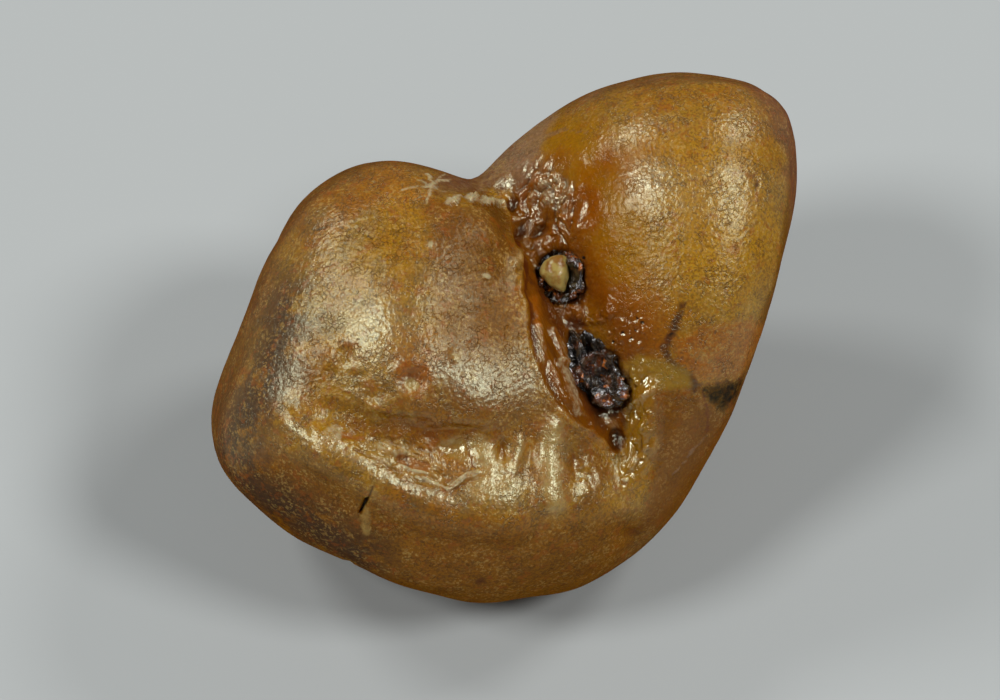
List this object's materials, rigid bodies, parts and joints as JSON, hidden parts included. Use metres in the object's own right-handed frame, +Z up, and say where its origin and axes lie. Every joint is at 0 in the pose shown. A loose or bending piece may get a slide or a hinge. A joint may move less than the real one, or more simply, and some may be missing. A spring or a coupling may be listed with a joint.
{
  "type": "raw carnelian pebble",
  "caption": "Water-worn raw carnelian pebble of two rounded lobes with a deep cleft between them, black-crusted pits and a small worn face to rest on.",
  "frame": {"origin": "middle of the stone's outline seen from above, at the level of the worn face that it rests on", "axes": "+Z up; +X to the right with the cleft's side towards the viewer; +Y to the back; the longest extent is along X"},
  "size_m": [0.0456, 0.0396, 0.033],
  "materials": {
    "carnelian": "translucent golden brown, satin where the river wore it, glossy in the cleft",
    "black_crust": "black, lumpy and glossy, red-brown in places",
    "pale_grain": "pale yellow cream, waxy"
  },
  "bodies": {
    "root": {"stone": "carnelian", "upper_pocket_crust": "black_crust", "lower_pocket_crust": "black_crust", "lodged_grain": "pale_grain"}
  },
  "joints": []
}
